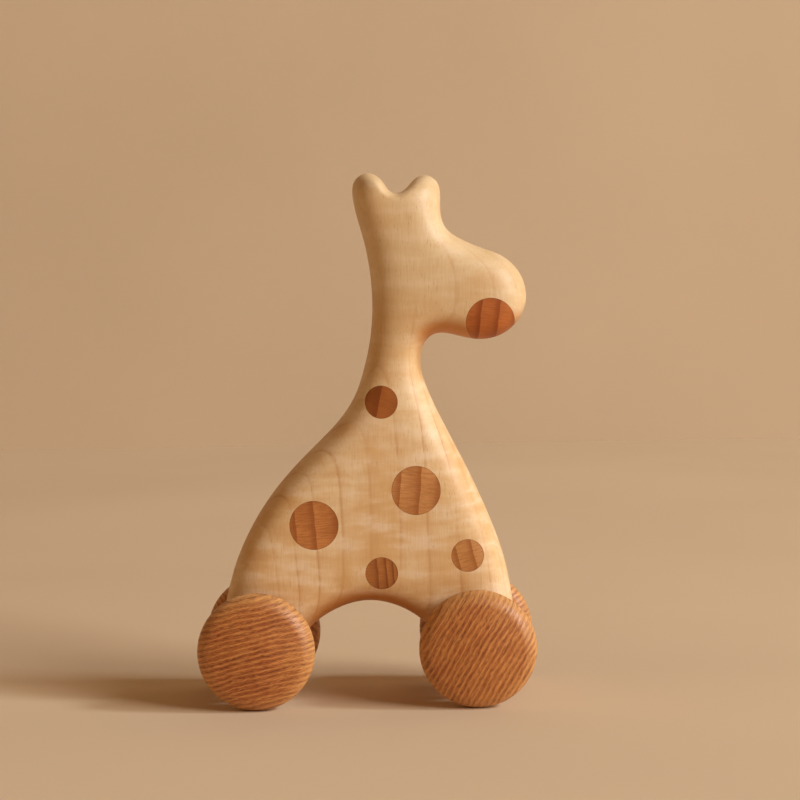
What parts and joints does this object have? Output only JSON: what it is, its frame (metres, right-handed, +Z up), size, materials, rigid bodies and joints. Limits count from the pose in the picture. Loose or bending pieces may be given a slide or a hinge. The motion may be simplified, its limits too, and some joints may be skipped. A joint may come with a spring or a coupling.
{
  "type": "wooden push-along giraffe toy",
  "caption": "Wooden giraffe push toy: a thick board body rounded all over, with round spots let through it, rolling on wheels glued to axles that turn in its feet.",
  "frame": {"origin": "on the floor, midway between the axles and in the middle of the body's thickness; this is the bottom centre of the bounding box", "axes": "+X forwards, the way the muzzle points; +Y to the animal's left, along the axles; +Z up"},
  "size_m": [0.124, 0.0616, 0.195],
  "materials": {
    "maple": "oiled, flat-sawn light maple, sanded smooth",
    "spot_wood": "oiled orange-brown end grain, flush with the body",
    "wheel_wood": "oiled brown face grain with tight dark rings",
    "axle_wood": "plain light dowel"
  },
  "bodies": {
    "body": {"body": "maple", "neck_spot": "spot_wood", "shoulder_spot": "spot_wood", "flank_spot": "spot_wood", "belly_spot": "spot_wood", "chest_spot": "spot_wood", "muzzle_spot": "spot_wood"},
    "front_wheelset": {"front_axle": "axle_wood", "front_left_wheel": "wheel_wood", "front_right_wheel": "wheel_wood"},
    "rear_wheelset": {"rear_axle": "axle_wood", "rear_left_wheel": "wheel_wood", "rear_right_wheel": "wheel_wood"}
  },
  "joints": [
    {"name": "front_roll", "type": "hinge", "parent": "body", "child": "front_wheelset", "pos_m": [0.0405, 0, 0.0215], "axis": [0, 1, 0], "continuous": true},
    {"name": "rear_roll", "type": "hinge", "parent": "body", "child": "rear_wheelset", "pos_m": [-0.0405, 0, 0.0215], "axis": [0, 1, 0], "continuous": true}
  ]
}
